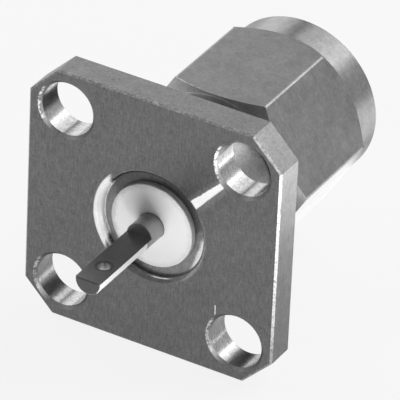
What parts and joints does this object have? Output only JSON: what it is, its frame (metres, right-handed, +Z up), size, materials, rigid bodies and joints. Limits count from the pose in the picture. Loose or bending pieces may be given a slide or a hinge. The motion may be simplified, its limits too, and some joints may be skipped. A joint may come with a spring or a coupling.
{
  "type": "coaxial panel connector",
  "caption": "Coaxial plug for a panel: square screw flange, free-turning hexagonal coupling nut at the mating end, and a half-round solder terminal in a white insulator.",
  "frame": {"origin": "centre of the flange's mounting face, the rear face that the solder terminal stands out of", "axes": "+Y along the connector's axis towards the mating end, -Y out of the mounting face along the solder terminal, +Z up, square to two flange edges"},
  "size_m": [0.0126, 0.0187, 0.0126],
  "materials": {
    "body_metal": "passivated stainless steel, satin, fine grain",
    "nut_metal": "passivated stainless steel, turned and milled",
    "ring_metal": "bare spring bronze",
    "gasket_rubber": "soft moulded silicone",
    "insulator_plastic": "white machined fluoropolymer",
    "contact_metal": "grey plated, smooth"
  },
  "bodies": {
    "connector": {"connector_body": "body_metal", "insulator": "insulator_plastic", "center_contact": "contact_metal", "gasket": "gasket_rubber", "retaining_ring": "ring_metal"},
    "nut": {"coupling_nut": "nut_metal"}
  },
  "joints": [
    {"name": "nut_spin", "type": "hinge", "parent": "connector", "child": "nut", "pos_m": [0, 0.0092, 0], "axis": [0, 1, 0], "continuous": true}
  ]
}
